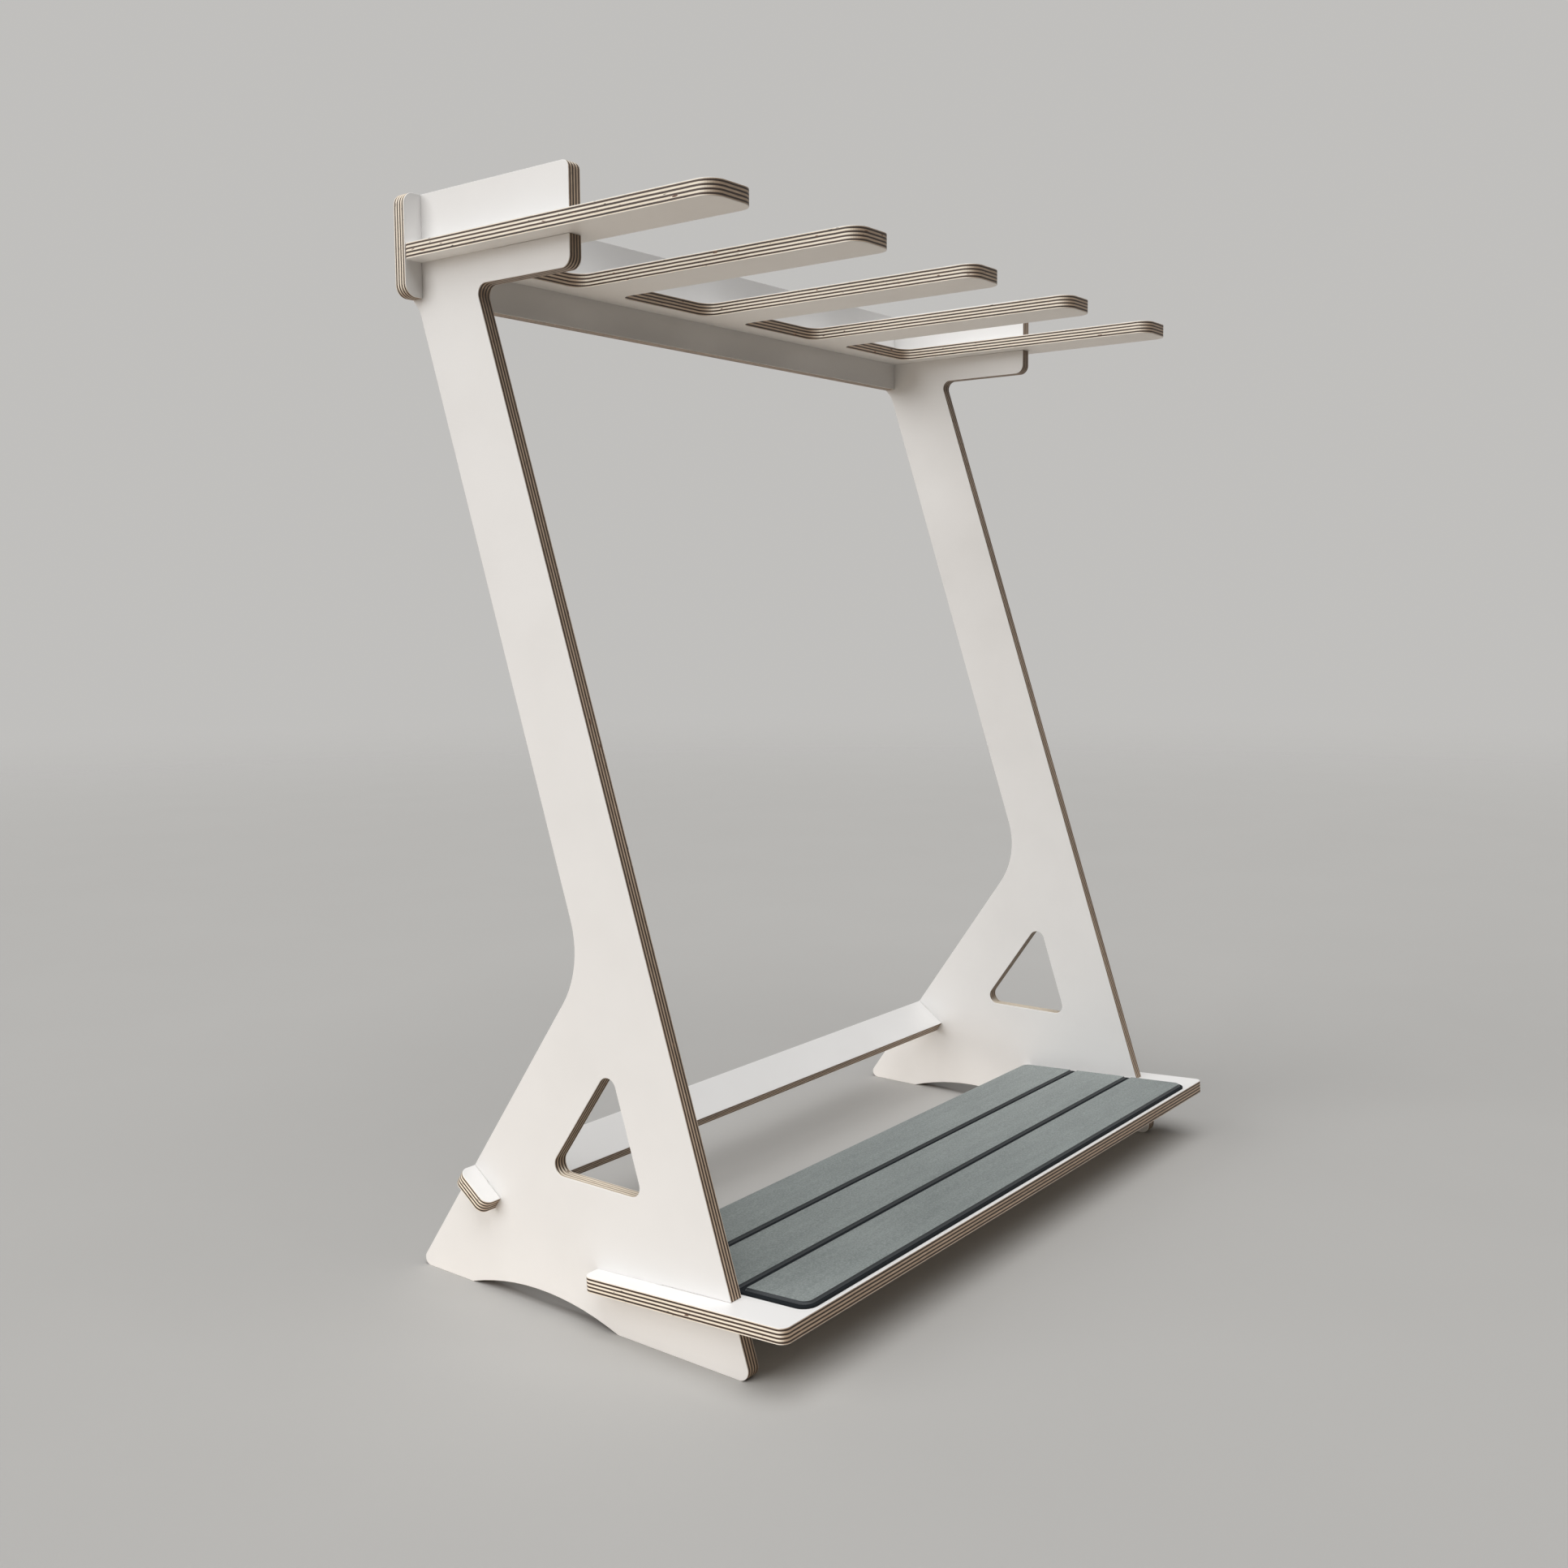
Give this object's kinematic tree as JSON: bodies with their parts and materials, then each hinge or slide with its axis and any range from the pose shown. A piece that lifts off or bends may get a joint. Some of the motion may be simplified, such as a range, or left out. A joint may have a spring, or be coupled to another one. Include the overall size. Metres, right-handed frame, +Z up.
{
  "type": "surfboard rack",
  "caption": "Free-standing rack of slotted white-faced plywood: side panels, finger comb, two rails and a tilted foam-padded shelf for upright boards.",
  "frame": {"origin": "on the floor, below the middle of the rack's width and depth", "axes": "+X along the rack from the left panel to the right one, -Y out of its front where the fingers point, +Z up"},
  "size_m": [0.947, 0.5232, 1.154],
  "materials": {
    "faced_plywood": "satin white laminate on both faces, clear-sealed edges that show brown and cream plies",
    "pad_backing_foam": "matt near-black foam sheet, glued to the shelf",
    "pad_strip_foam": "brushed grey-green closed-cell foam with bevelled edges"
  },
  "bodies": {
    "root": {"side_panel_left": "faced_plywood", "side_panel_right": "faced_plywood", "finger_comb": "faced_plywood", "upper_rail": "faced_plywood", "lower_rail": "faced_plywood", "base_shelf": "faced_plywood", "pad_backing": "pad_backing_foam", "pad_strip_rear": "pad_strip_foam", "pad_strip_middle": "pad_strip_foam", "pad_strip_front": "pad_strip_foam"}
  },
  "joints": []
}
